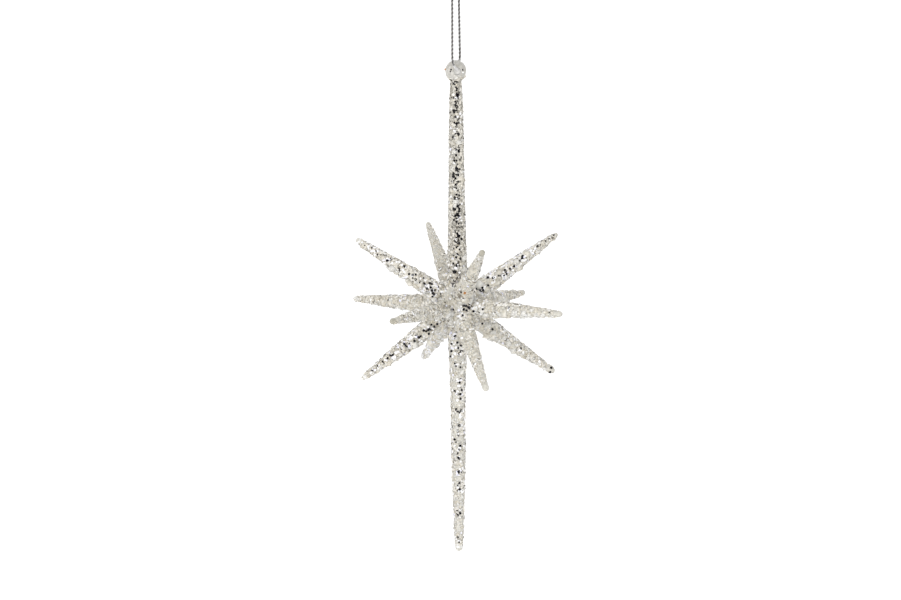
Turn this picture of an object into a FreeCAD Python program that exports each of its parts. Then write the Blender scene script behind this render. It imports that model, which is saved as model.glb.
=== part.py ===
import FreeCAD, Part
import math
import os

from FreeCAD import Vector

# Icicle hanging ornament: a starburst of clear acrylic spikes on a hanging cord.
# Millimetres, +Z up. The origin is the hanging point: the place under the cord's
# knot where the loop bears on a hook. Every spike is a separate moulding with a
# peg that is glued into a socket of the core.

# --- driving dimensions -------------------------------------------------------

ORNAMENT_HEIGHT = 230.0      # top of the eye ball to the bottom tip
EYE_BALL_RADIUS = 4.9
EYE_HOLE_RADIUS = 1.6
EYE_HOLE_AZIMUTH = 100.0     # degrees from +X of the hole's back mouth
EYE_RIM_ROUND = 0.35         # round on both mouths of the hole
NECK_ROUND = 0.8             # fillet between the eye ball and the spindle
BALL_TO_STAR = 109.4         # eye ball's centre to the star's centre
HANG_DROP = 41.0             # hanging point to the eye ball's centre

CORE_RADIUS = 10.5
PEG_RADIUS = 2.0
PEG_START = 5.0              # distances of a spike's features from the star's centre
SEAT_START = 9.0
PEG_CHAMFER = 0.3
GLUE_GAP = 0.03              # all round a peg and its seat

SPIKE_REACH = 57.5           # star's centre to a side spike's tip

# The three rings of side spikes, each spike as (degrees from +X, degrees above level).
# They are set by hand, so each stands a degree or two off an even star.
UPPER_RING = [(11.0, 34.0), (107.0, 35.5), (191.0, 34.5), (284.0, 33.0)]
MIDDLE_RING = [(56.5, -0.5), (148.0, -0.5), (238.0, -0.5), (326.5, 0.0)]
LOWER_RING = [(16.0, -35.5), (110.0, -33.0), (203.0, -33.0), (286.0, -35.0)]

CORD_RADIUS = 0.5
CORD_HEIGHT_IN_EYE = 0.75    # the cord's centreline above the eye hole's axis
TWIST_PLANE_Z = -12.0        # the legs' fixed tops end here, and the turning legs begin
KNOT_CENTRE_Z = 1.8
KNOT_WIDTH_RADIUS = 1.9
KNOT_HEIGHT_RADIUS = 1.75
TAIL_LEAN = 1.6              # how far each cut tail leans out from the knot
TAIL_TOP_Z = 9.5

# Outlines of the spikes, as (distance from the star's centre, radius). The ball-round
# tips of the side and bottom spikes are added to them.
SIDE_OUTLINE = [(9.0, 4.1), (19.5, 3.75), (33.0, 2.8), (45.0, 1.95)]
TOP_OUTLINE = [(9.0, 4.15), (24.0, 3.95), (40.0, 3.5), (65.0, 3.1), (89.0, 2.75), (104.2, 2.2)]
BOTTOM_OUTLINE = [(9.0, 4.15), (22.0, 3.95), (40.0, 3.25), (66.0, 3.1), (90.0, 2.55)]
SIDE_TIP_RADIUS = 1.15
BOTTOM_TIP_RADIUS = 1.75

# The cord's two legs, from the middle of the eye hole to the knot. Each point is
# (right, forward, up) from the eye ball's centre, with +X right and -Y forward.
FRONT_LEG = [
    (0.0, 0.0, CORD_HEIGHT_IN_EYE), (0.78, 4.5, CORD_HEIGHT_IN_EYE),
    (0.62, 5.75, 1.0), (-0.6, 6.1, 2.2), (-1.6, 5.85, 4.4),
    (-1.42, 1.3, 39.2), (-1.0, 0.7, 41.2), (-0.5, 0.3, 42.8),
]
BACK_LEG = [
    (0.0, 0.0, CORD_HEIGHT_IN_EYE), (-0.78, -4.5, CORD_HEIGHT_IN_EYE),
    (-0.6, -5.75, 1.0), (0.8, -6.1, 2.2), (1.95, -5.85, 4.4),
    (1.55, -1.3, 39.2), (1.0, -0.7, 41.2), (0.5, -0.3, 42.8),
]

# --- places that follow from them ---------------------------------------------

EYE_Z = -HANG_DROP
STAR = Vector(0, 0, EYE_Z - BALL_TO_STAR)
BOTTOM_REACH = ORNAMENT_HEIGHT - EYE_BALL_RADIUS - BALL_TO_STAR


def direction(azimuth, tilt):
    """The unit vector at an azimuth from +X and a tilt above level, in degrees."""
    a = math.radians(azimuth)
    t = math.radians(tilt)
    return Vector(math.cos(t) * math.cos(a), math.cos(t) * math.sin(a), math.sin(t))


def line(a, b):
    return Part.LineSegment(Vector(a[0], 0, a[1]), Vector(b[0], 0, b[1])).toShape()


def arc(a, middle, b):
    points = [Vector(p[0], 0, p[1]) for p in (a, middle, b)]
    return Part.Arc(*points).toShape()


def flank(outline):
    """The smooth edge through an outline's points, as radius against height."""
    curve = Part.BSplineCurve()
    curve.interpolate([Vector(radius, 0, height) for height, radius in outline])
    return curve.toShape()


def turned(edges):
    """The solid that a closed outline beside the Z axis makes when it is turned about it."""
    face = Part.Face(Part.Wire(Part.__sortEdges__(edges)))
    return face.revolve(Vector(0, 0, 0), Vector(0, 0, 1), 360)


def peg_edges(base_radius):
    """The peg and the flat shoulder that seats on the core."""
    corners = [
        (0, PEG_START), (PEG_RADIUS - PEG_CHAMFER, PEG_START),
        (PEG_RADIUS, PEG_START + PEG_CHAMFER), (PEG_RADIUS, SEAT_START),
        (base_radius, SEAT_START),
    ]
    return [line(a, b) for a, b in zip(corners, corners[1:])]


def spike(outline, tip_radius, reach):
    """A spike that stands on +Z: peg, shoulder, tapering flank and ball-round tip."""
    tip_centre = reach - tip_radius
    half_way = tip_radius * math.sqrt(0.5)
    edges = peg_edges(outline[0][1])
    edges.append(flank(outline + [(tip_centre, tip_radius)]))
    edges.append(arc((tip_radius, tip_centre), (half_way, tip_centre + half_way), (0, reach)))
    edges.append(line((0, reach), (0, PEG_START)))
    return turned(edges)


def aimed(shape, way):
    """The shape, with its +Z turned towards a direction from the star's centre."""
    turn = FreeCAD.Rotation(Vector(0, 0, 1), way)
    moved = shape.copy()
    moved.Placement = FreeCAD.Placement(STAR, turn)
    return moved


def eye_spindle():
    """The top spike, moulded with the ball and its cross hole for the cord."""
    neck_height, neck_radius = TOP_OUTLINE[-1]
    joint_height = BALL_TO_STAR - math.sqrt(EYE_BALL_RADIUS ** 2 - neck_radius ** 2)
    side = (EYE_BALL_RADIUS, BALL_TO_STAR)
    top = BALL_TO_STAR + EYE_BALL_RADIUS
    edges = peg_edges(TOP_OUTLINE[0][1])
    edges.append(flank(TOP_OUTLINE))
    edges.append(line((neck_radius, neck_height), (neck_radius, joint_height)))
    edges.append(arc((neck_radius, joint_height), side, (0, top)))
    edges.append(line((0, top), (0, PEG_START)))
    body = turned(edges)
    body = body.makeFillet(NECK_ROUND, circles(body, neck_radius, joint_height))
    along = direction(EYE_HOLE_AZIMUTH, 0)
    length = 4 * EYE_BALL_RADIUS
    start = Vector(0, 0, BALL_TO_STAR) - along * (length / 2)
    body = body.cut(Part.makeCylinder(EYE_HOLE_RADIUS, length, start, along))
    rims = [edge for edge in body.Edges if is_rim(edge)]
    return body.makeFillet(EYE_RIM_ROUND, rims)


def circles(shape, radius, height):
    """The level circular edges of one radius at one height."""
    found = []
    for edge in shape.Edges:
        box = edge.BoundBox
        if box.ZLength < 0.01 and abs(box.ZMin - height) < 0.01 and abs(box.XMax - radius) < 0.01:
            found.append(edge)
    return found


def is_rim(edge):
    """Whether an edge is where the eye hole leaves the ball."""
    rim_distance = math.sqrt(EYE_BALL_RADIUS ** 2 - EYE_HOLE_RADIUS ** 2)
    centre = Vector(0, 0, BALL_TO_STAR)
    along = direction(EYE_HOLE_AZIMUTH, 0)
    for parameter in edge.getParameterByLength(edge.Length / 3), edge.FirstParameter:
        offset = edge.valueAt(parameter) - centre
        distance = abs(offset.dot(along))
        radius = (offset - along * offset.dot(along)).Length
        if abs(distance - rim_distance) > 0.02 or abs(radius - EYE_HOLE_RADIUS) > 0.02:
            return False
    return True


def core(ways):
    """The core ball, with a seat and a peg socket for every spike."""
    ball = Part.makeSphere(CORE_RADIUS, STAR)
    for way, base_radius in ways:
        socket = STAR + way * (PEG_START - GLUE_GAP)
        seat = STAR + way * (SEAT_START - GLUE_GAP)
        ball = ball.cut(Part.makeCylinder(PEG_RADIUS + GLUE_GAP, CORE_RADIUS, socket, way))
        ball = ball.cut(Part.makeCylinder(base_radius + GLUE_GAP, CORE_RADIUS, seat, way))
    return ball


def leg_points(leg):
    """A leg's points in the ornament's frame."""
    return [Vector(right, -forward, up + EYE_Z) for right, forward, up in leg]


def tube(points, name):
    """A round tube along straight runs joined by tangent arcs."""
    edges = []
    start = points[0]
    radii = []
    for before, corner, after in zip(points, points[1:], points[2:]):
        back = before - corner
        ahead = after - corner
        turn = math.pi - back.getAngle(ahead)
        trim = 0.45 * min(back.Length, ahead.Length)
        radii.append(trim / math.tan(turn / 2))
        back.normalize()
        ahead.normalize()
        first = corner + back * trim
        last = corner + ahead * trim
        bisector = back + ahead
        bisector.normalize()
        reach = radii[-1] / math.cos(turn / 2) - radii[-1]
        edges.append(Part.LineSegment(start, first).toShape())
        edges.append(Part.Arc(first, corner + bisector * reach, last).toShape())
        start = last
    edges.append(Part.LineSegment(start, points[-1]).toShape())
    path = Part.Wire(edges)
    length = path.Length
    ring = Part.Wire(Part.makeCircle(CORD_RADIUS, points[0], points[1] - points[0]))
    solid = path.makePipeShell([ring], True, False)
    expected = math.pi * CORD_RADIUS ** 2 * length
    print(name, "length", round(length, 2), "radii", [round(radius, 2) for radius in radii])
    print(name, "volume", round(solid.Volume, 3), "section times length", round(expected, 3))
    return solid


def halves(leg, name):
    """A leg's fixed top and its turning lower stretch, which meet at a level plane."""
    whole = tube(leg_points(leg), name)
    reach = 4 * HANG_DROP
    above = Part.makeBox(reach, reach, reach, Vector(-reach / 2, -reach / 2, TWIST_PLANE_Z))
    return whole.common(above), whole.cut(above)


def tail(side):
    """One cut end of the cord, which stands out of the knot."""
    foot = Vector(side * 0.5, side * 0.3, KNOT_CENTRE_Z)
    top = Vector(side * TAIL_LEAN, side * 0.5, TAIL_TOP_Z)
    way = top - foot
    return Part.makeCylinder(CORD_RADIUS, way.Length, foot, way)


def knot(legs):
    """The overhand knot as a plain solid with its two cut tails, fitted round the legs' ends."""
    ball = Part.makeSphere(1.0)
    stretch = FreeCAD.Matrix()
    stretch.scale(KNOT_WIDTH_RADIUS, KNOT_WIDTH_RADIUS, KNOT_HEIGHT_RADIUS)
    body = ball.transformGeometry(stretch)
    body.translate(Vector(0, 0, KNOT_CENTRE_Z))
    for side in (-1, 1):
        body = body.fuse(tail(side))
    for leg in legs:
        body = body.cut(leg)
    return body


def build():
    """Every sub-part's solid, by the name of its node."""
    up = Vector(0, 0, 1)
    side_spike = spike(SIDE_OUTLINE, SIDE_TIP_RADIUS, SPIKE_REACH)
    side_base = SIDE_OUTLINE[0][1]
    parts = {
        "top_spindle_with_eye": aimed(eye_spindle(), up),
        "bottom_spindle": aimed(spike(BOTTOM_OUTLINE, BOTTOM_TIP_RADIUS, BOTTOM_REACH), -up),
    }
    ways = [(up, TOP_OUTLINE[0][1]), (-up, BOTTOM_OUTLINE[0][1])]
    rings = [("upper", UPPER_RING), ("middle", MIDDLE_RING), ("lower", LOWER_RING)]
    for ring, spikes in rings:
        for number, (azimuth, tilt) in enumerate(spikes, 1):
            way = direction(azimuth, tilt)
            parts[f"{ring}_spike_{number}"] = aimed(side_spike, way)
            ways.append((way, side_base))
    parts["core"] = core(ways)
    front_top, front_leg = halves(FRONT_LEG, "front leg")
    back_top, back_leg = halves(BACK_LEG, "back leg")
    parts["cord_front_leg"] = front_leg
    parts["cord_back_leg"] = back_leg
    parts["cord_front_top"] = front_top
    parts["cord_back_top"] = back_top
    parts["cord_knot"] = knot([front_top, back_top])
    return parts


os.makedirs("parts", exist_ok=True)
for node, shape in build().items():
    print(node, "solids", len(shape.Solids), "valid", shape.isValid(), "volume", round(shape.Volume, 2))
    shape.exportStep(f"parts/{node}.step")
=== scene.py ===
import math

import bmesh
import bpy
import numpy as np
from mathutils import Matrix, Quaternion, Vector, noise
from mathutils.bvhtree import BVHTree


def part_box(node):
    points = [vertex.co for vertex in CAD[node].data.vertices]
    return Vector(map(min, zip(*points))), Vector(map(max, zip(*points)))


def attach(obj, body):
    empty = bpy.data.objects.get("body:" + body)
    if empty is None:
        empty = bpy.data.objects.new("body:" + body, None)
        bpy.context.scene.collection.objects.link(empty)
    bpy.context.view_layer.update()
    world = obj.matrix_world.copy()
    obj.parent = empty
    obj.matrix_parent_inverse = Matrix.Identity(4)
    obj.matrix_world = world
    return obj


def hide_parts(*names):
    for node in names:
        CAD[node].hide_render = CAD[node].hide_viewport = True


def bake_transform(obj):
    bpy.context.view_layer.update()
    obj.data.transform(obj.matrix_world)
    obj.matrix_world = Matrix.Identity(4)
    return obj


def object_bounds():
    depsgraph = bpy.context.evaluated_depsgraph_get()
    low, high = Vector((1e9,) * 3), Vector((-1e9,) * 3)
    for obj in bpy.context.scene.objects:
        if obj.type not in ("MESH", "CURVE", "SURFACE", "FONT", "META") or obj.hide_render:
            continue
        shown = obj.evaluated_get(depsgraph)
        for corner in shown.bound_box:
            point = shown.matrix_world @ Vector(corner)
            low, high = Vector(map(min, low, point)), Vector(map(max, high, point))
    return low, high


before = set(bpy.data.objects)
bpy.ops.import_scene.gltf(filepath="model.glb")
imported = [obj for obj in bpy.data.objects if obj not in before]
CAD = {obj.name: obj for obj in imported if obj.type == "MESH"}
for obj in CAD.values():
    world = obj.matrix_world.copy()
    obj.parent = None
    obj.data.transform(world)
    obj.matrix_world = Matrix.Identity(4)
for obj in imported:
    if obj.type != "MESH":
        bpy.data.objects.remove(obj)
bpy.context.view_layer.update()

# --- sizes, in metres ---------------------------------------------------------

MM = 0.001
SPIKES = sorted(n for n in CAD if "_spike_" in n)
TOP_SPINDLE = "top_spindle_with_eye"
BOTTOM_SPINDLE = "bottom_spindle"
SPINDLES = [TOP_SPINDLE, BOTTOM_SPINDLE]

core_low, core_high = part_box("core")
STAR = (Vector(core_low) + Vector(core_high)) / 2
CORE_RADIUS = (core_high[2] - core_low[2]) / 2
EYE_RADIUS = 4.9 * MM
EYE = Vector((0, 0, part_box(TOP_SPINDLE)[1][2] - EYE_RADIUS))
HOLE_RADIUS = 1.6 * MM
HOLE_AZIMUTH = math.radians(100)
HOLE_WAY = Vector((math.cos(HOLE_AZIMUTH), math.sin(HOLE_AZIMUTH), 0))

PLY_RADIUS = 0.31 * MM
PLY_OFFSET = 0.31 * MM       # from a ply's middle to the cord's
PLY_PITCH = 3.74 * MM
HEART_RADIUS = 0.46 * MM     # a near-black strand between the two plies: painted shade for the dark gaps where they twist
STRAND_STEP = 0.16 * MM
STRAND_SIDES = 12
GLUED_AND_GLINT_CORD = 7.1 * MM        # how far from the eye's centre the cord is glazed with glue and painted pale, a painted glint on the silver

GLUE_BLEND = 0.7 * MM        # how softly the glue mass fills a corner
GLUE_REACH = 16.5 * MM       # the mass's limit from the star's centre
GLUE_STEP = 0.1 * MM         # how finely its surface is looked for
LUMP_HEIGHT = 0.25 * MM
BEAD_RADIUS = 1.5 * MM       # of the glue drop in the eye hole
BEAD_DEPTH = 3.0 * MM        # from the middle of its length to the middle of a face
BEAD_RIM = 0.5 * MM          # how much deeper each face is at its rim
BEAD_RINGS = 7
BEAD_SIDES = 40

BARE_TIP = 1.8 * MM          # the coat stops this far short of every tip
COAT_START = 11.5 * MM       # from the star's centre to where a spike's coat begins
FINE_STRETCH = 18 * MM       # the coat gets finer over this length before a tip
FINEST = 0.6                 # its grains and flakes there, against the others
WIDEST_SPIKE = 5.0 * MM      # more than any spike's radius
OUTSIDE = 0.03               # a distance from a spike's axis that clears its surface
GRAIN_SPACING = 0.78 * MM
GRAIN_SIZE = 0.50 * MM       # half a grain's width
GRAIN_FLATNESS = 0.6         # a grain's height against its width
FLAKE_SPACING = 0.86 * MM
FLAKE_SIZE = 0.60 * MM       # centre to corner
FLAKE_HALF_THICKNESS = 0.02 * MM
FLAKE_LIFT = 0.36 * MM       # of the lowest flakes above the moulding
FLAKE_LIFT_SPREAD = 0.2 * MM # how much higher the highest lie
FLAKE_TILT = 0.12            # about how far flakes lie off the surface, in radians

# --- small helpers --------------------------------------------------------------


def link(obj):
    """Puts an object in the scene, and returns it."""
    bpy.context.scene.collection.objects.link(obj)
    return obj


def mesh_object(name, points, faces, materials, slots=None, smooth=False):
    """A mesh object from points, faces and each face's material slot."""
    mesh = bpy.data.meshes.new(name)
    mesh.from_pydata(np.asarray(points).tolist(), [], [tuple(face) for face in faces])
    for material in materials:
        mesh.materials.append(material)
    if slots is not None:
        mesh.polygons.foreach_set("material_index", np.asarray(slots, np.int32))
    mesh.polygons.foreach_set("use_smooth", [smooth] * len(mesh.polygons))
    mesh.update()
    return link(bpy.data.objects.new(name, mesh))


def nodes_of(name):
    """A new material, its nodes, its links and its Principled shader."""
    material = bpy.data.materials.new(name)
    material.use_nodes = True
    tree = material.node_tree
    shader = next(n for n in tree.nodes if n.type == "BSDF_PRINCIPLED")
    return material, tree.nodes, tree.links, shader


def ramp_node(nodes, stops):
    """A colour ramp through (place, colour) stops."""
    ramp = nodes.new("ShaderNodeValToRGB")
    while len(ramp.color_ramp.elements) < len(stops):
        ramp.color_ramp.elements.new(0.5)
    for element, (place, colour) in zip(ramp.color_ramp.elements, stops):
        element.position = place
        element.color = (*colour, 1.0)
    return ramp


def vector_node(nodes, links, operation, first, second=None):
    """A vector operation on a linked vector and, where given, a fixed one."""
    node = nodes.new("ShaderNodeVectorMath")
    node.operation = operation
    links.new(first, node.inputs[0])
    if second is not None:
        node.inputs[1].default_value = second
    return node


def within(nodes, links, distance, limit, colour, inner):
    """A colour that turns into an inner colour where a distance is under a limit."""
    near = nodes.new("ShaderNodeMapRange")
    near.inputs["From Min"].default_value = limit + 0.05 * MM
    near.inputs["From Max"].default_value = limit - 0.05 * MM
    links.new(distance.outputs["Value"], near.inputs["Value"])
    mix = nodes.new("ShaderNodeMix")
    mix.data_type = "RGBA"
    links.new(near.outputs["Result"], mix.inputs["Factor"])
    links.new(colour, mix.inputs["A"])
    if isinstance(inner, tuple):
        mix.inputs["B"].default_value = (*inner, 1.0)
    else:
        links.new(inner, mix.inputs["B"])
    return mix.outputs["Result"]


# --- materials ------------------------------------------------------------------

CLOUDS = [(0.3, (0.58, 0.55, 0.48)), (0.5, (0.68, 0.66, 0.595)), (0.7, (0.78, 0.765, 0.72))]
FROST = [(0.35, (0.52, 0.50, 0.45)), (0.5, (0.60, 0.58, 0.535)), (0.65, (0.73, 0.72, 0.685))]
# Pure white for the bore of the eye hole: painted light, which brightens the shade inside it.
HOLE_PAINTED_LIGHT = (1.0, 1.0, 0.995)


def acrylic(name, stops, with_eye=False):
    """Clear moulded acrylic, clouded by the glue that holds the coat.

    The eye's ball is frosted instead, and painted pure white inside its hole, painted light that
    brightens the shaded bore.
    """
    material, nodes, links, shader = nodes_of(name)
    place = nodes.new("ShaderNodeTexCoord")
    cloud = nodes.new("ShaderNodeTexNoise")
    cloud.inputs["Scale"].default_value = 900.0
    cloud.inputs["Detail"].default_value = 5.0
    cloud.inputs["Roughness"].default_value = 0.6
    links.new(place.outputs["Object"], cloud.inputs["Vector"])
    tint = ramp_node(nodes, stops)
    links.new(cloud.outputs["Fac"], tint.inputs["Fac"])
    colour = tint.outputs["Color"]
    if with_eye:
        from_eye = vector_node(nodes, links, "SUBTRACT", place.outputs["Object"], EYE)
        radius = vector_node(nodes, links, "LENGTH", from_eye.outputs["Vector"])
        frost = ramp_node(nodes, FROST)
        links.new(cloud.outputs["Fac"], frost.inputs["Fac"])
        colour = within(nodes, links, radius, EYE_RADIUS + 0.2 * MM, colour, frost.outputs["Color"])
        across = vector_node(nodes, links, "CROSS_PRODUCT", from_eye.outputs["Vector"], HOLE_WAY)
        apart = vector_node(nodes, links, "LENGTH", across.outputs["Vector"])
        # Painted light: the bore of the eye hole is painted pure white against its shade.
        colour = within(nodes, links, apart, HOLE_RADIUS + 0.05 * MM, colour, HOLE_PAINTED_LIGHT)
    links.new(colour, shader.inputs["Base Color"])
    grain = nodes.new("ShaderNodeTexVoronoi")
    grain.inputs["Scale"].default_value = 1300.0
    links.new(place.outputs["Object"], grain.inputs["Vector"])
    bump = nodes.new("ShaderNodeBump")
    bump.inputs["Strength"].default_value = 0.4
    bump.inputs["Distance"].default_value = 0.2 * MM
    links.new(grain.outputs["Distance"], bump.inputs["Height"])
    links.new(bump.outputs["Normal"], shader.inputs["Normal"])
    shader.inputs["Roughness"].default_value = 0.22
    shader.inputs["IOR"].default_value = 1.49
    shader.inputs["Transmission Weight"].default_value = 0.12
    return material


def grains(name, stops, transmission, roughness):
    """Small crystals of the coat, each a shade of its own with cloudy spots."""
    material, nodes, links, shader = nodes_of(name)
    geometry = nodes.new("ShaderNodeNewGeometry")
    tint = ramp_node(nodes, stops)
    place = nodes.new("ShaderNodeTexCoord")
    cloud = nodes.new("ShaderNodeTexNoise")
    cloud.inputs["Scale"].default_value = 480.0
    cloud.inputs["Detail"].default_value = 3.0
    links.new(place.outputs["Object"], cloud.inputs["Vector"])
    shade = nodes.new("ShaderNodeMath")
    shade.operation = "MULTIPLY_ADD"
    links.new(geometry.outputs["Random Per Island"], shade.inputs[0])
    shade.inputs[1].default_value = 0.4
    drift = nodes.new("ShaderNodeMapRange")
    drift.inputs["From Min"].default_value = 0.3
    drift.inputs["From Max"].default_value = 0.7
    drift.inputs["To Max"].default_value = 0.6
    links.new(cloud.outputs["Fac"], drift.inputs["Value"])
    links.new(drift.outputs["Result"], shade.inputs[2])
    links.new(shade.outputs["Value"], tint.inputs["Fac"])
    links.new(tint.outputs["Color"], shader.inputs["Base Color"])
    shader.inputs["Roughness"].default_value = roughness
    shader.inputs["IOR"].default_value = 1.5
    shader.inputs["Transmission Weight"].default_value = transmission
    return material


def foil(name, stops, roughness, metallic=1.0):
    """Metallised film of the glitter flakes, each a shade of its own."""
    material, nodes, links, shader = nodes_of(name)
    geometry = nodes.new("ShaderNodeNewGeometry")
    tint = ramp_node(nodes, stops)
    links.new(geometry.outputs["Random Per Island"], tint.inputs["Fac"])
    links.new(tint.outputs["Color"], shader.inputs["Base Color"])
    shader.inputs["Metallic"].default_value = metallic
    shader.inputs["Roughness"].default_value = roughness
    return material


def thread(name, dark, middle, light, metallic):
    """Metallic thread, with fine filaments along each ply."""
    material, nodes, links, shader = nodes_of(name)
    place = nodes.new("ShaderNodeTexCoord")
    grain = nodes.new("ShaderNodeTexNoise")
    grain.inputs["Scale"].default_value = 3500.0
    grain.inputs["Detail"].default_value = 3.0
    links.new(place.outputs["Object"], grain.inputs["Vector"])
    tint = ramp_node(nodes, [(0.35, dark), (0.55, middle), (0.72, light)])
    links.new(grain.outputs["Fac"], tint.inputs["Fac"])
    links.new(tint.outputs["Color"], shader.inputs["Base Color"])
    bump = nodes.new("ShaderNodeBump")
    bump.inputs["Strength"].default_value = 0.6
    bump.inputs["Distance"].default_value = 0.06 * MM
    links.new(grain.outputs["Fac"], bump.inputs["Height"])
    links.new(bump.outputs["Normal"], shader.inputs["Normal"])
    shader.inputs["Metallic"].default_value = metallic
    shader.inputs["Roughness"].default_value = 0.4
    return material


ACRYLIC = acrylic("clear_acrylic", CLOUDS)
EYE_ACRYLIC = acrylic("clear_acrylic_with_eye", CLOUDS, with_eye=True)
MILKY, DEEP, CLEAR = range(3)
DROPS = [
    acrylic("milky_drop", [(0.3, (0.62, 0.595, 0.52)), (0.7, (0.76, 0.74, 0.68))]),
    acrylic("deep_drop", [(0.3, (0.42, 0.40, 0.325)), (0.7, (0.53, 0.505, 0.43))]),
    acrylic("clear_drop", [(0.3, (0.84, 0.83, 0.81)), (0.7, (0.92, 0.92, 0.90))]),
]
GLUE = acrylic("dried_glue", [(0.3, (0.80, 0.785, 0.75)), (0.7, (0.88, 0.87, 0.84))])
BRIGHT_PLY, PAINTED_SHADE_HEART, GLUED_AND_GLINT_PLY = range(3)
THREADS = [
    thread("silver_thread", (0.21, 0.205, 0.20), (0.43, 0.42, 0.41), (0.78, 0.78, 0.79), 0.6),
    # A near-black strand between the plies: painted shade for the gaps between them.
    thread("painted_shade_thread", (0.015, 0.012, 0.011), (0.035, 0.028, 0.026), (0.07, 0.06, 0.055), 0.2),
    # Pale thread near the eye: the glue glaze, with the silver's glint painted in as pale colour.
    thread("glued_thread_painted_glint", (0.40, 0.39, 0.38), (0.72, 0.715, 0.71), (0.94, 0.94, 0.96), 0.0),
]
MILK = [(0.0, (0.66, 0.60, 0.485)), (0.4, (0.80, 0.755, 0.655)), (1.0, (0.92, 0.90, 0.845))]
GRAINS = [
    grains("milky_grains", MILK, 0.12, 0.3),
    grains("clear_grains", [(0.0, (0.88, 0.86, 0.80)), (1.0, (0.98, 0.97, 0.94))], 0.25, 0.12),
]
SILVER, PEARL_GLINT, GREY, DULL, COPPER = range(5)
PEARL_GLINT_STOPS = [(0.0, (0.80, 0.80, 0.96)), (0.25, (0.97, 0.97, 0.99)), (1.0, (0.99, 0.99, 0.99))]
FOILS = [
    foil("silver_foil", [(0.0, (0.63, 0.595, 0.53)), (1.0, (0.72, 0.70, 0.65))], 0.06),
    # Pearl flakes: a pale flake colour whose flat white also stands in for glints, as painted
    # glint.
    foil("pearl_foil_painted_glint", PEARL_GLINT_STOPS, 0.3, 0.0),
    foil("grey_foil", [(0.0, (0.34, 0.32, 0.28)), (1.0, (0.48, 0.46, 0.41))], 0.08),
    foil("dull_foil", [(0.0, (0.38, 0.36, 0.315)), (1.0, (0.54, 0.52, 0.47))], 0.4, 0.0),
    foil("copper_foil", [(0.0, (0.62, 0.30, 0.12)), (1.0, (0.55, 0.27, 0.10))], 0.3, 0.3),
]

# --- the camera -------------------------------------------------------------------

CAMERA_ELEVATION = math.radians(7.8)
CAMERA_ROLL = math.radians(-0.4)
CAMERA_DISTANCE = 2.4
VIEW_WIDTH = 0.4182
VIEW_RIGHT = -3.2 * MM      # of the view's centre from the star's centre
VIEW_UP = 2.6 * MM

toward_camera = Vector((0, -math.cos(CAMERA_ELEVATION), math.sin(CAMERA_ELEVATION)))
camera_up = Vector((0, math.sin(CAMERA_ELEVATION), math.cos(CAMERA_ELEVATION)))
camera = link(bpy.data.objects.new("camera", bpy.data.cameras.new("camera")))
camera.data.sensor_width = 36.0
camera.data.lens = 36.0 * CAMERA_DISTANCE / VIEW_WIDTH
camera.data.clip_start = 0.1
camera.data.clip_end = 100.0
aim = STAR + Vector((VIEW_RIGHT, 0, 0)) + camera_up * VIEW_UP
camera.location = aim + toward_camera * CAMERA_DISTANCE
camera.rotation_mode = "QUATERNION"
look = (-toward_camera).to_track_quat("-Z", "Y")
look.rotate(Quaternion(toward_camera, CAMERA_ROLL))
camera.rotation_quaternion = look
bpy.context.scene.camera = camera

# --- the cord -----------------------------------------------------------------------

# Each leg's points are (right, forward, up) in mm from the eye ball's centre.
FRONT_LEG = [
    (0.0, 0.0, 0.75), (0.78, 4.5, 0.75), (0.62, 5.75, 1.0), (-0.6, 6.1, 2.2),
    (-1.6, 5.85, 4.4), (-1.57, 5.0, 10.9), (-1.45, 2.0, 33.5), (-1.42, 1.3, 39.2),
    (-1.0, 0.7, 41.2), (-0.5, 0.3, 42.8),
]
BACK_LEG = [
    (0.0, 0.0, 0.75), (-0.78, -4.5, 0.75), (-0.6, -5.75, 1.0), (0.8, -6.1, 2.2),
    (1.95, -5.85, 4.4), (1.87, -5.0, 10.9), (1.61, -2.0, 33.5), (1.55, -1.3, 39.2),
    (1.0, -0.7, 41.2), (0.5, -0.3, 42.8),
]


def route(points):
    """Points along the smooth line that a leg's points control."""
    curve = bpy.data.curves.new("route", "CURVE")
    curve.dimensions = "3D"
    curve.resolution_u = 24
    spline = curve.splines.new("NURBS")
    spline.points.add(len(points) - 1)
    for point, (right, forward, up) in zip(spline.points, points):
        place = EYE + Vector((right, -forward, up)) * MM
        point.co = (*place, 1.0)
    spline.order_u = 3
    spline.use_endpoint_u = True
    holder = link(bpy.data.objects.new("route", curve))
    mesh = bpy.data.meshes.new_from_object(holder)
    line = np.array([v.co for v in mesh.vertices], float)
    bpy.data.objects.remove(holder)
    bpy.data.meshes.remove(mesh)
    return line


def resampled(line, step):
    """Evenly spaced points along a line, and its length."""
    lengths = np.concatenate([[0.0], np.cumsum(np.linalg.norm(np.diff(line, axis=0), axis=1))])
    count = max(2, int(round(lengths[-1] / step)) + 1)
    along = np.linspace(0.0, lengths[-1], count)
    return np.stack([np.interp(along, lengths, line[:, k]) for k in range(3)], axis=1), lengths[-1]


def frames_along(line):
    """Two sideways directions at each point of a line, without sudden turns."""
    tangents = np.gradient(line, axis=0)
    tangents /= np.linalg.norm(tangents, axis=1)[:, None]
    side = np.cross(tangents[0], [0.31, 0.22, 0.93])
    sides = []
    for tangent in tangents:
        side = side - tangent * (side @ tangent)
        side = side / np.linalg.norm(side)
        sides.append(side)
    sides = np.array(sides)
    return sides, np.cross(tangents, sides)


def tube_faces(rings, segments):
    """Faces of a closed tube whose points are rings one after another."""
    faces = []
    for low in range(0, (rings - 1) * segments, segments):
        high = low + segments
        for j in range(segments):
            k = (j + 1) % segments
            faces.append((low + j, low + k, high + k, high + j))
    faces.append(tuple(reversed(range(segments))))
    faces.append(tuple(range((rings - 1) * segments, rings * segments)))
    return faces


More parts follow.
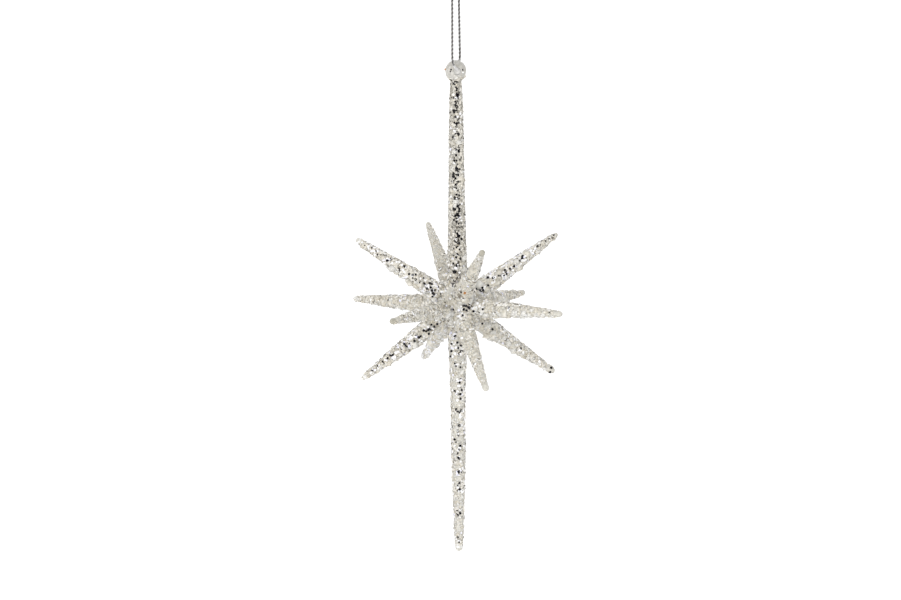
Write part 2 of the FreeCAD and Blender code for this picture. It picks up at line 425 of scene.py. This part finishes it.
def tube_points(line, radius, segments):
    """Points of a tube round a line, ring after ring."""
    sides, ups = frames_along(line)
    angles = np.linspace(0, 2 * math.pi, segments, endpoint=False)[None, :, None]
    ring = np.cos(angles) * sides[:, None, :] + np.sin(angles) * ups[:, None, :]
    return (line[:, None, :] + ring * radius).reshape(-1, 3)


# Each strand's starting angle, distance from the cord's line, radius and thread.
STRANDS = [
    (0.0, PLY_OFFSET, PLY_RADIUS, BRIGHT_PLY),
    (math.pi, PLY_OFFSET, PLY_RADIUS, BRIGHT_PLY),
    # The middle strand is near black: painted shade between the two plies.
    (0.0, 0.0, HEART_RADIUS, PAINTED_SHADE_HEART),
]


def twisted_cord(name, lines):
    """A cord along each line, of twisted strands, and the last line's length."""
    points, faces, slots = [], [], []
    count = 0
    for line in lines:
        fine, length = resampled(line, STRAND_STEP)
        sides, ups = frames_along(fine)
        turn = np.linspace(0, length, len(fine))[:, None] / PLY_PITCH * 2 * math.pi
        for start, offset, radius, slot in STRANDS:
            angle = turn + start
            strand = fine + (np.cos(angle) * sides + np.sin(angle) * ups) * offset
            strand_points = tube_points(strand, radius, STRAND_SIDES)
            strand_faces = tube_faces(len(strand), STRAND_SIDES)
            # Near the eye every strand is painted pale: glue glaze and painted glint.
            glue_and_glint = np.linalg.norm(strand_points - np.array(EYE), axis=1) < GLUED_AND_GLINT_CORD
            points.append(strand_points)
            faces += [tuple(i + count for i in face) for face in strand_faces]
            slots += [GLUED_AND_GLINT_PLY if glue_and_glint[face[0]] else slot for face in strand_faces]
            count += len(strand_points)
    cord = mesh_object(name, np.vstack(points), faces, THREADS, slots, smooth=True)
    return cord, length


KNOT_TURNS = 2.3
KNOT_MIDDLE = 1.9            # in mm above the hanging point
KNOT_HALF_HEIGHT = 1.15      # in mm
KNOT_SWAY = 0.25             # how far each turn tilts, in mm
KNOT_POINTS = 150
# One cut tail's points in mm from the hanging point. The other is opposite.
TAIL = [(0.35, 0.2, 0.4), (0.5, 0.3, 2.2), (0.75, 0.35, 3.8), (1.2, 0.42, 6.2), (1.6, 0.5, 9.4)]


def knot_lines():
    """The knot: the cord wrapped round itself, and its two cut tails."""
    turns = np.linspace(0, KNOT_TURNS * 2 * math.pi, KNOT_POINTS)
    lift = np.linspace(-KNOT_HALF_HEIGHT, KNOT_HALF_HEIGHT, KNOT_POINTS)
    belly = 1.0 + 0.12 * np.cos(lift / KNOT_HALF_HEIGHT * math.pi / 2)
    height = KNOT_MIDDLE + lift + KNOT_SWAY * np.sin(turns)
    wrap = np.stack([np.cos(turns) * belly, np.sin(turns) * belly, height], axis=1)
    tails = [np.array(TAIL) * (side, side, 1) for side in (-1, 1)]
    return [line * MM for line in (wrap, *tails)]


knot, _ = twisted_cord("knot", knot_lines())
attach(knot, "hanger")
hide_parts("cord_knot")

for leg_name, leg_route in (("front", FRONT_LEG), ("back", BACK_LEG)):
    path = route(leg_route)
    leg, leg_length = twisted_cord(f"cord_{leg_name}", [path])
    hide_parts(f"cord_{leg_name}_leg", f"cord_{leg_name}_top")
    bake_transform(leg)
    print("cord", leg_name, round(leg_length * 1000, 2), "mm")

# --- the moulded spikes ---------------------------------------------------------------

for node in SPIKES + SPINDLES + ["core"]:
    mesh = CAD[node].data
    mesh.materials.clear()
    mesh.materials.append(EYE_ACRYLIC if node == TOP_SPINDLE else ACRYLIC)
    for polygon in mesh.polygons:
        polygon.use_smooth = True


class Skin:
    """A spike's surface: its axis out of the star, its reach and its taper near the star."""

    def __init__(self, node):
        mesh = CAD[node].data
        points = np.array([v.co for v in mesh.vertices], float)
        far = points[np.argmax(np.linalg.norm(points - np.array(STAR), axis=1))]
        self.axis = (Vector(far) - STAR).normalized()
        if node in SPINDLES:
            self.axis = Vector((0, 0, 1 if node == TOP_SPINDLE else -1))
        self.reach = float(((points - np.array(STAR)) @ np.array(self.axis)).max())
        self.side = self.axis.orthogonal().normalized()
        self.other = self.axis.cross(self.side)
        self.tree = BVHTree.FromPolygons(
            [v.co for v in mesh.vertices], [p.vertices for p in mesh.polygons]
        )
        heights = np.arange(10, 22, 1.0) * MM
        radii = [(self.at(h, 0.0)[0] - STAR - self.axis * h).length for h in heights]
        self.taper = np.polyfit(heights, radii, 1)

    def at(self, height, angle):
        """The place and the outward normal at a height along the axis and an angle."""
        out = self.side * math.cos(angle) + self.other * math.sin(angle)
        start = STAR + self.axis * height + out * OUTSIDE
        place, normal, _, _ = self.tree.ray_cast(start, -out)
        if place is None:
            return None, None
        if normal.dot(out) < 0:
            normal = -normal
        return place, normal


SKINS = {node: Skin(node) for node in SPIKES + SPINDLES}

# --- the glue mass over the core --------------------------------------------------------


def glue_height(points):
    """How far points are outside the core and spikes, with their corners filled by glue."""
    inside = np.exp(-(np.linalg.norm(points, axis=1) - CORE_RADIUS) / GLUE_BLEND)
    for skin in SKINS.values():
        axis = np.array(skin.axis)
        along = points @ axis
        away = np.linalg.norm(points - along[:, None] * axis, axis=1)
        gap = away - np.polyval(skin.taper, along)
        inside += np.where(along > 4 * MM, np.exp(-gap / GLUE_BLEND), 0.0)
    return -GLUE_BLEND * np.log(inside)


def glue_mass():
    """One skin over the core and the spikes' roots, and which of its points are in a spike."""
    ball = bpy.data.meshes.new("ball")
    bm = bmesh.new()
    bmesh.ops.create_icosphere(bm, subdivisions=6, radius=1.0)
    bm.to_mesh(ball)
    bm.free()
    ways = np.array([v.co for v in ball.vertices], float)
    ways /= np.linalg.norm(ways, axis=1)[:, None]
    faces = [tuple(p.vertices) for p in ball.polygons]
    reach = np.full(len(ways), GLUE_REACH)
    open_ways = np.ones(len(ways), bool)
    for distance in np.arange(CORE_RADIUS - 0.5 * MM, GLUE_REACH, GLUE_STEP):
        rows = np.flatnonzero(open_ways)
        outside = glue_height(ways[rows] * distance) > 0
        reach[rows[outside]] = distance
        open_ways[rows[outside]] = False
    lumps = np.array([noise.noise(Vector(w) * 55) for w in ways])
    reach = np.where(open_ways, reach, reach + lumps * LUMP_HEIGHT)
    points = ways * reach[:, None] + np.array(STAR)
    mass = mesh_object("glue_mass", points, faces, [ACRYLIC], smooth=True)
    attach(mass, "ornament")
    return mass, open_ways


mass, buried = glue_mass()

# --- the coat -----------------------------------------------------------------------

CUBE = np.array([(x, y, z) for x in (-1, 1) for y in (-1, 1) for z in (-1, 1)], float)
CUBE_FACES = np.array([
    (0, 1, 3), (0, 3, 2), (4, 6, 7), (4, 7, 5), (0, 4, 5), (0, 5, 1),
    (2, 3, 7), (2, 7, 6), (0, 2, 6), (0, 6, 4), (1, 5, 7), (1, 7, 3),
])


def random_turns(random, count):
    """Random rotation matrices."""
    q = random.normal(size=(count, 4))
    q /= np.linalg.norm(q, axis=1)[:, None]
    w, x, y, z = q.T
    return np.stack([
        1 - 2 * (y * y + z * z), 2 * (x * y - z * w), 2 * (x * z + y * w),
        2 * (x * y + z * w), 1 - 2 * (x * x + z * z), 2 * (y * z - x * w),
        2 * (x * z - y * w), 2 * (y * z + x * w), 1 - 2 * (x * x + y * y),
    ], axis=1).reshape(-1, 3, 3)


CLEAR_SHARE = 0.15           # of the grains, where nothing else is said
COARSE_SHARE = 0.26          # of the grains on a surface that faces down, likewise
COARSE = 2.0                 # a coarse grain's size against the others'


def grain_coat(name, places, normals, random, sizes, clear_share=CLEAR_SHARE):
    """A crust of small irregular crystals, one at each place."""
    count = len(places)
    shapes = CUBE[None] * (1 + random.uniform(-0.35, 0.35, (count, 8, 3)))
    shapes = shapes * random.uniform(0.75, 1.25, (count, 1, 3))
    shapes = np.einsum("nij,nkj->nki", random_turns(random, count), shapes)
    sunk = places + normals * (sizes * random.uniform(-0.5, 0.15, count))[:, None]
    outward = np.einsum("nij,nj->ni", shapes, normals)[:, :, None] * normals[:, None, :]
    shapes = shapes - outward * (1 - GRAIN_FLATNESS)
    points = sunk[:, None, :] + shapes * sizes[:, None, None]
    faces = CUBE_FACES[None] + (np.arange(count) * 8)[:, None, None]
    kinds = (random.uniform(size=count) < clear_share).astype(int)
    is_coarse = sizes > 0.75 * COARSE * GRAIN_SIZE
    kinds = np.where(is_coarse, random.integers(0, 2, count), kinds)
    coat = mesh_object(
        name, points.reshape(-1, 3), faces.reshape(-1, 3), GRAINS,
        np.repeat(kinds, len(CUBE_FACES)), smooth=True,
    )
    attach(coat, "ornament")


def glitter(name, places, normals, random, sizes, lift=FLAKE_LIFT, mix=None, kinds=None):
    """Hexagonal flakes that lie nearly flat on the coat, each of a named foil or by a mix."""
    count = len(places)
    normals = normals + random.normal(size=(count, 3)) * FLAKE_TILT
    normals /= np.linalg.norm(normals, axis=1)[:, None]
    across = np.cross(normals, random.normal(size=(count, 3)))
    across /= np.linalg.norm(across, axis=1)[:, None]
    along = np.cross(normals, across)
    angles = (np.arange(6) * math.pi / 3)[None, :, None]
    rim = np.cos(angles) * across[:, None, :] + np.sin(angles) * along[:, None, :]
    rim = rim * sizes[:, None, None]
    thick = (normals * FLAKE_HALF_THICKNESS)[:, None, :]
    lifts = lift + random.uniform(0, FLAKE_LIFT_SPREAD, count)
    middle = (places + normals * lifts[:, None])[:, None, :]
    points = np.concatenate([middle + rim + thick, middle + rim - thick], axis=1).reshape(-1, 3)
    if kinds is None:
        kinds = random.choice(len(mix), count, p=mix)
    # A flake has two hexagons, so twelve corners, and eight faces.
    faces = []
    for base in range(0, count * 12, 12):
        faces.append(range(base, base + 6))
        faces.append(reversed(range(base + 6, base + 12)))
        for j in range(6):
            k = (j + 1) % 6
            faces.append((base + j, base + 6 + j, base + 6 + k, base + k))
    flakes = mesh_object(name, points, faces, FOILS, np.repeat(kinds, 8))
    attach(flakes, "ornament")


def over_hole(place):
    """Whether a place is in or beside a mouth of the eye hole."""
    from_eye = place - EYE
    beside = from_eye.cross(HOLE_WAY).length < HOLE_RADIUS + 0.4 * MM
    return beside and abs(from_eye.z) < 3 * MM


def scattered(skin, random, spacing, low, high):
    """Places and normals spread evenly over a spike from one height to another."""
    places, normals = [], []
    for _ in range(int((high - low) * 2 * math.pi * WIDEST_SPIKE / spacing ** 2)):
        place, normal = skin.at(random.uniform(low, high), random.uniform(0, 2 * math.pi))
        keep = random.uniform(0, WIDEST_SPIKE)
        if place is None:
            continue
        radius = (place - STAR - skin.axis * (place - STAR).dot(skin.axis)).length
        if keep < radius and not over_hole(place):
            places.append(place)
            normals.append(normal)
    return np.array(places), np.array(normals)


def on_mass(random, spacing):
    """Places and normals spread evenly over the open surface of the glue mass."""
    mesh = mass.data
    points = np.array([v.co for v in mesh.vertices], float)
    corners = np.array([p.vertices for p in mesh.polygons])
    corners = corners[~buried[corners].any(axis=1)]
    a, b, c = (points[corners[:, k]] for k in range(3))
    normals = np.cross(b - a, c - a)
    areas = np.linalg.norm(normals, axis=1) / 2
    count = int(areas.sum() / spacing ** 2)
    rows = random.choice(len(corners), count, p=areas / areas.sum())
    u, v = random.uniform(size=(2, count))
    flip = u + v > 1
    u, v = np.where(flip, 1 - u, u), np.where(flip, 1 - v, v)
    places = a[rows] + (b - a)[rows] * u[:, None] + (c - a)[rows] * v[:, None]
    return places, normals[rows] / (2 * areas[rows])[:, None]


def in_clusters(places, normals, random, share, seed):
    """The share of the places that a patchy pattern keeps, in clusters a few mm across."""
    patch = 3.2 * MM
    patches = np.array([noise.noise(Vector(p) / patch + Vector((seed, 0, 0))) for p in places])
    patches = patches + random.uniform(-0.12, 0.12, len(places))
    keep = patches > np.quantile(patches, 1 - share)
    return places[keep], normals[keep]


def grain_sizes(random, normals, fineness, coarse_share=COARSE_SHARE):
    """Mostly even grains, with coarse ones that ran down to the undersides."""
    facing_down = np.maximum(0, -normals[:, 2])
    coarse = random.uniform(size=len(normals)) < coarse_share * (0.08 + facing_down)
    sizes = GRAIN_SIZE * np.exp(random.normal(0, 0.2, len(normals))) * fineness
    return sizes * np.where(coarse, COARSE, 1.0)


def finer_at_tip(skin, places):
    """The size of the coat's grains and flakes, from 1 down to FINEST at a spike's tip."""
    along = (places - np.array(STAR)) @ np.array(skin.axis)
    return np.clip(FINEST + (1 - FINEST) * (skin.reach - along) / FINE_STRETCH, FINEST, 1.0)


# Glitter lies thickest on the top spindle. For each spike: the flakes' spacing, the share
# of such an even layer that it keeps, and how much of that is silver, pearl, grey and dull.
# The pearl flakes' white is partly their own pale colour and partly painted glint.
GLITTER = {
    TOP_SPINDLE: (0.76 * MM, 1.0, (0.32, 0.07, 0.35, 0.26)),
    BOTTOM_SPINDLE: (FLAKE_SPACING, 0.45, (0.65, 0.30, 0.0, 0.05)),
    "upper_spike_3": (FLAKE_SPACING, 0.85, (0.58, 0.34, 0.0, 0.08)),
    "lower_spike_3": (FLAKE_SPACING, 0.78, (0.53, 0.35, 0.0, 0.12)),
    "upper_spike_1": (FLAKE_SPACING, 0.7, (0.50, 0.50, 0.0, 0.0)),
    "lower_spike_1": (FLAKE_SPACING, 0.35, (0.60, 0.40, 0.0, 0.0)),
    "lower_spike_2": (FLAKE_SPACING, 0.8, (0.20, 0.80, 0.0, 0.0)),
}
FEW_FLAKES = (FLAKE_SPACING, 0.28, (0.80, 0.20, 0.0, 0.0))
CORE_FLAKES = (FLAKE_SPACING, 0.45, (0.70, 0.30, 0.0, 0.0))

# The spikes whose coat is finer: how large its grains are against the others', and how
# many of them are clear. Few of them are coarse.
FINE_COATS = {
    BOTTOM_SPINDLE: (0.75, 0.55),
    "upper_spike_2": (0.75, 0.2),
    "upper_spike_4": (0.8, 0.2),
    "middle_spike_3": (0.8, 0.35),
    "lower_spike_4": (0.8, 0.2),
}
FEW_COARSE = 0.04


def bare_ball(places, normals, random):
    """Thins the grains out over the lower part of the eye's ball, and stops them there."""
    bare = np.clip((places[:, 2] - EYE.z + 4.4 * MM) / (2.4 * MM), 0, 1)
    keep = random.uniform(size=len(places)) > bare
    return places[keep], normals[keep]


def coat_spike(index, node, skin):
    """A spike's grains and flakes."""
    random = np.random.default_rng(100 + index)
    grains_end = flakes_end = skin.reach - BARE_TIP
    if node == TOP_SPINDLE:
        grains_end = (EYE - STAR).length - 0.5 * MM
        flakes_end = (EYE - STAR).length - 3.8 * MM
    places, normals = scattered(skin, random, GRAIN_SPACING, COAT_START, grains_end)
    if node == TOP_SPINDLE:
        places, normals = bare_ball(places, normals, random)
    finer, clear_share = FINE_COATS.get(node, (1.0, CLEAR_SHARE))
    coarse_share = FEW_COARSE if node in FINE_COATS else COARSE_SHARE
    fineness = finer_at_tip(skin, places) * finer
    sizes = grain_sizes(random, normals, fineness, coarse_share)
    grain_coat(f"grains_{node}", places, normals, random, sizes, clear_share)

    spacing, share, mix = GLITTER.get(node, FEW_FLAKES)
    places, normals = scattered(skin, random, spacing, COAT_START, flakes_end)
    places, normals = in_clusters(places, normals, random, share, 11.0 * index)
    fineness = finer_at_tip(skin, places)
    sizes = FLAKE_SIZE * np.exp(random.normal(0, 0.12, len(places))) * fineness
    lifts = FLAKE_LIFT * fineness * finer
    glitter(f"glitter_{node}", places, normals, random, sizes, lifts, mix)


def coat_core(random):
    """The grains and flakes on the glue mass."""
    places, normals = on_mass(random, GRAIN_SPACING)
    grain_coat("grains_core", places, normals, random, grain_sizes(random, normals, 1.0))
    spacing, share, mix = CORE_FLAKES
    places, normals = on_mass(random, spacing)
    places, normals = in_clusters(places, normals, random, share, 5.0)
    sizes = np.full(len(places), FLAKE_SIZE)
    glitter("glitter_core", places, normals, random, sizes, mix=mix)


# A few flakes sit alone on the eye's ball: degrees right and up from straight ahead, the
# distance from a flake's centre to a corner in mm, and the foil.
EYE_FLAKES = [
    (-44, 9, 0.36, SILVER), (-27, 10, 0.42, SILVER), (-31, 0, 0.36, SILVER),
    (40, 8, 0.42, SILVER), (42, -6, 0.45, PEARL_GLINT), (-80, 8, 0.5, COPPER),
]
EYE_FLAKE_LIFT = 0.12 * MM


def eye_flakes(random):
    """The flakes on the eye's ball, turned toward the front."""
    places, normals, sizes, kinds = [], [], [], []
    for right, up, size, kind in EYE_FLAKES:
        right, up = math.radians(right), math.radians(up)
        level = math.cos(up)
        way = Vector((math.sin(right) * level, -math.cos(right) * level, math.sin(up)))
        ahead = Vector((0, -1, 0.14))
        places.append(EYE + way * EYE_RADIUS)
        normals.append((way * 0.5 + ahead).normalized())
        sizes.append(size * MM)
        kinds.append(kind)
    glitter(
        "glitter_eye", np.array(places), np.array(normals), random, np.array(sizes),
        EYE_FLAKE_LIFT, kinds=kinds,
    )


for spike_index, (spike_node, spike_skin) in enumerate(SKINS.items()):
    coat_spike(spike_index, spike_node, spike_skin)
core_random = np.random.default_rng(99)
coat_core(core_random)
eye_flakes(core_random)

# Where the dip ran to a tip it dried as a smooth long drop: its radius in mm and its look.
TIP_DROPS = {
    "upper_spike_1": (1.2, CLEAR),
    "upper_spike_2": (1.3, MILKY),
    "upper_spike_3": (1.25, CLEAR),
    "upper_spike_4": (1.45, DEEP),
    "middle_spike_1": (1.4, MILKY),
    "middle_spike_2": (1.35, CLEAR),
    "middle_spike_3": (1.4, DEEP),
    "middle_spike_4": (1.5, MILKY),
    "lower_spike_1": (1.95, MILKY),
    "lower_spike_2": (1.5, CLEAR),
    "lower_spike_3": (1.3, CLEAR),
    "lower_spike_4": (1.65, MILKY),
    BOTTOM_SPINDLE: (1.9, CLEAR),
}
DROP_STRETCH = 1.5           # a drop's length against its width
DROP_PROUD = 0.1             # how far it reaches past the tip, in mm


def smooth_drops():
    """A long drop over each tip, all in one mesh."""
    bm = bmesh.new()
    for node, (radius, _) in TIP_DROPS.items():
        skin = SKINS[node]
        centre = STAR + skin.axis * (skin.reach + (DROP_PROUD - DROP_STRETCH * radius) * MM)
        turn = skin.axis.to_track_quat("Z", "Y").to_matrix().to_4x4()
        stretch = Matrix.Diagonal((1.0, 1.0, DROP_STRETCH, 1.0))
        shape = Matrix.Translation(centre) @ turn @ stretch
        bmesh.ops.create_icosphere(bm, subdivisions=3, radius=radius * MM, matrix=shape)
    mesh = bpy.data.meshes.new("tip_drops")
    bm.to_mesh(mesh)
    bm.free()
    for material in DROPS:
        mesh.materials.append(material)
    looks = [look for _, look in TIP_DROPS.values()]
    looks = np.repeat(looks, len(mesh.polygons) // len(TIP_DROPS))
    mesh.polygons.foreach_set("material_index", looks)
    mesh.polygons.foreach_set("use_smooth", [True] * len(mesh.polygons))
    drops = link(bpy.data.objects.new("tip_drops", mesh))
    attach(drops, "ornament")
    return drops


tip_drops = smooth_drops()

# Flakes that catch the eye round the hub, along the spikes beside it and on one tip, for
# each foil: mm right and up of the star's centre as seen from the front.
HUB_FLAKES = {
    SILVER: [
        (3.0, 0.2), (3.7, 0.0), (5.1, 0.7), (5.0, -0.7), (5.5, -1.4), (4.1, -2.1),
        (2.7, -1.9), (2.3, -4.6), (7.5, -2.6), (10.5, -3.0), (11.7, -2.1), (-2.3, -1.7),
        (-4.6, -9.9), (-14.7, 7.9), (-12.4, 8.7), (-11.9, 7.0), (-11.2, 6.0), (-10.7, 5.4),
        (-11.4, 4.3), (-12.1, -8.8), (-10.7, -9.6), (-9.6, -8.5), (-8.5, -8.2), (-15.8, -11.3),
        (-14.4, -11.7), (-13.5, -12.8), (-17.2, -14.0), (-18.1, -14.7), (-20.2, -16.0),
        (14.4, 12.8), (14.2, 9.3), (19.5, 13.7), (22.0, 16.0), (24.3, 16.9), (-2.8, -18.0),
        (-2.8, -21.2), (-3.0, -23.5), (42.3, -31.2), (43.0, -31.3), (43.6, -29.4),
    ],
    PEARL_GLINT: [
        (10.3, -0.5), (9.4, 0.7), (11.0, -3.6), (0.5, -2.1), (1.0, -5.0), (1.9, -3.3),
        (-1.0, -7.8), (-0.4, 17.0), (1.0, 15.5), (-13.5, 9.2), (9.8, -14.0), (-5.5, -11.5),
        (2.0, -15.0),
    ],
    COPPER: [
        (3.4, 5.7),
    ],
}
# The surfaces that flakes lie on, and how far out the coat there holds them, in mm.
SURFACES = [(tip_drops, 0.15), (mass, 0.95)] + [(CAD[node], 0.95) for node in SKINS]


def tree_of(mesh):
    """A mesh made ready for rays."""
    return BVHTree.FromPolygons(
        [v.co for v in mesh.vertices], [p.vertices for p in mesh.polygons]
    )


TREES = [(tree_of(obj.data), coat * MM) for obj, coat in SURFACES]


def seen_from_front(right, up):
    """The first place on the object seen from the front, its normal and its coat."""
    sideways = camera_up.cross(toward_camera).normalized()
    start = STAR + (sideways * right + camera_up * up) * MM + toward_camera * 0.1
    best, nearest = None, 1.0
    for tree, coat in TREES:
        place, normal, _, distance = tree.ray_cast(start, -toward_camera)
        if place is not None and distance - coat < nearest:
            best, nearest = (place, normal, coat), distance - coat
    return best


random = np.random.default_rng(98)
places, normals, kinds, lifts = [], [], [], []
for kind, spots in HUB_FLAKES.items():
    for right, up in spots:
        seen = seen_from_front(right, up)
        if seen is not None:
            place, normal, lift = seen
            places.append(place)
            normals.append((normal * 0.4 + toward_camera).normalized())
            kinds.append(kind)
            lifts.append(lift)
glitter(
    "glitter_hub_front", np.array(places), np.array(normals), random,
    FLAKE_SIZE * random.uniform(0.95, 1.2, len(places)), np.array(lifts), kinds=kinds,
)


def glue_bead():
    """A drop of dried glue on the cord, which fills the eye hole and turns freely in it."""
    up = Vector((0, 0, 1))
    side = HOLE_WAY.cross(up)
    profile = [
        (share * BEAD_RADIUS, BEAD_DEPTH + BEAD_RIM * share ** 2)
        for share in np.linspace(0.1, 1.0, BEAD_RINGS)
    ]
    profile += [(radius, -depth) for radius, depth in reversed(profile)]
    points = []
    for radius, depth in profile:
        for turn in np.linspace(0, 2 * math.pi, BEAD_SIDES, endpoint=False):
            out = side * math.cos(turn) + up * math.sin(turn)
            points.append(EYE + out * radius + HOLE_WAY * depth)
    faces = tube_faces(len(profile), BEAD_SIDES)
    bead = mesh_object("glue_bead", points, faces, [GLUE], smooth=True)
    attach(bead, "cord_loop")


glue_bead()

# --- the studio -----------------------------------------------------------------------


def plain(name, colour):
    """A dull material of one colour."""
    material, _, _, shader = nodes_of(name)
    shader.inputs["Base Color"].default_value = (*colour, 1.0)
    shader.inputs["Roughness"].default_value = 0.9
    return material


FLOOR_DROP = 0.30
HALF_FLOOR = 12.0
floor_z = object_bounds()[0].z - FLOOR_DROP
floor_corners = [
    (-HALF_FLOOR, -HALF_FLOOR, floor_z), (HALF_FLOOR, -HALF_FLOOR, floor_z),
    (HALF_FLOOR, HALF_FLOOR, floor_z), (-HALF_FLOOR, HALF_FLOOR, floor_z),
]
floor_white = plain("floor_white", (0.97, 0.97, 0.97))
mesh_object("floor", floor_corners, [(0, 1, 2, 3)], [floor_white])


def board(name, corners, colour, glossy):
    """A studio board round the object that only mirrors see, or only dull surfaces."""
    card = mesh_object(name, corners, [(0, 1, 2, 3)], [plain(name, colour)])
    card.location = STAR
    card.visible_camera = False
    card.visible_diffuse = not glossy
    card.visible_glossy = glossy
    card.visible_transmission = False
    card.visible_shadow = False


# The dark room behind the camera, as mirrors see it, in metres from the star.
CARD_SIDE = 1.05
CARD_AHEAD = -1.0
CARD_LOW, CARD_HIGH = -0.75, 1.0
CARD_DARK = (0.004, 0.004, 0.012)
board("front_card", [
    (-CARD_SIDE, CARD_AHEAD, CARD_LOW), (CARD_SIDE, CARD_AHEAD, CARD_LOW),
    (CARD_SIDE, CARD_AHEAD, CARD_HIGH), (-CARD_SIDE, CARD_AHEAD, CARD_HIGH),
], CARD_DARK, True)

# Grey flags beside and above the object, which shade its edges.
FLAG_SIDE = 0.55
TOP_FLAG_SIDE = 0.5
FLAG_HIGH = 0.6
FLAG_FRONT, FLAG_BACK = -0.35, 0.15
FLAG_GREY = (0.12, 0.115, 0.10)
for flag_name, x in (("left_flag", -FLAG_SIDE), ("right_flag", FLAG_SIDE)):
    board(flag_name, [
        (x, FLAG_FRONT, -FLAG_HIGH), (x, FLAG_BACK, -FLAG_HIGH),
        (x, FLAG_BACK, FLAG_HIGH), (x, FLAG_FRONT, FLAG_HIGH),
    ], FLAG_GREY, False)
board("top_flag", [
    (-TOP_FLAG_SIDE, FLAG_FRONT, FLAG_HIGH), (TOP_FLAG_SIDE, FLAG_FRONT, FLAG_HIGH),
    (TOP_FLAG_SIDE, FLAG_BACK, FLAG_HIGH), (-TOP_FLAG_SIDE, FLAG_BACK, FLAG_HIGH),
], FLAG_GREY, False)

WORLD_STRENGTH = 1.32
world = bpy.data.worlds.new("world")
bpy.context.scene.world = world
world.use_nodes = True
background = world.node_tree.nodes["Background"]
background.inputs["Color"].default_value = (1.0, 1.0, 1.0, 1.0)
background.inputs["Strength"].default_value = WORLD_STRENGTH

STRIP_WIDTH = 0.5
STRIP_HEIGHT = 0.9
STRIP_DISTANCE = 0.8
STRIP_RISE = 0.3             # how far up for each metre outward


def strip_light(name, azimuth, power):
    """A tall soft light in front of the object, at degrees to the camera's right."""
    data = bpy.data.lights.new(name, "AREA")
    data.shape = "RECTANGLE"
    data.size = STRIP_WIDTH
    data.size_y = STRIP_HEIGHT
    data.energy = power
    lamp = link(bpy.data.objects.new(name, data))
    turn = math.radians(azimuth)
    way = Vector((math.sin(turn), -math.cos(turn), STRIP_RISE))
    lamp.location = STAR + way * STRIP_DISTANCE
    lamp.visible_glossy = False
    lamp.rotation_mode = "QUATERNION"
    lamp.rotation_quaternion = (-way).to_track_quat("-Z", "Y")


strip_light("left_strip", -38, 2.1)
strip_light("right_strip", 38, 0.5)

bpy.context.scene.view_settings.view_transform = "Standard"
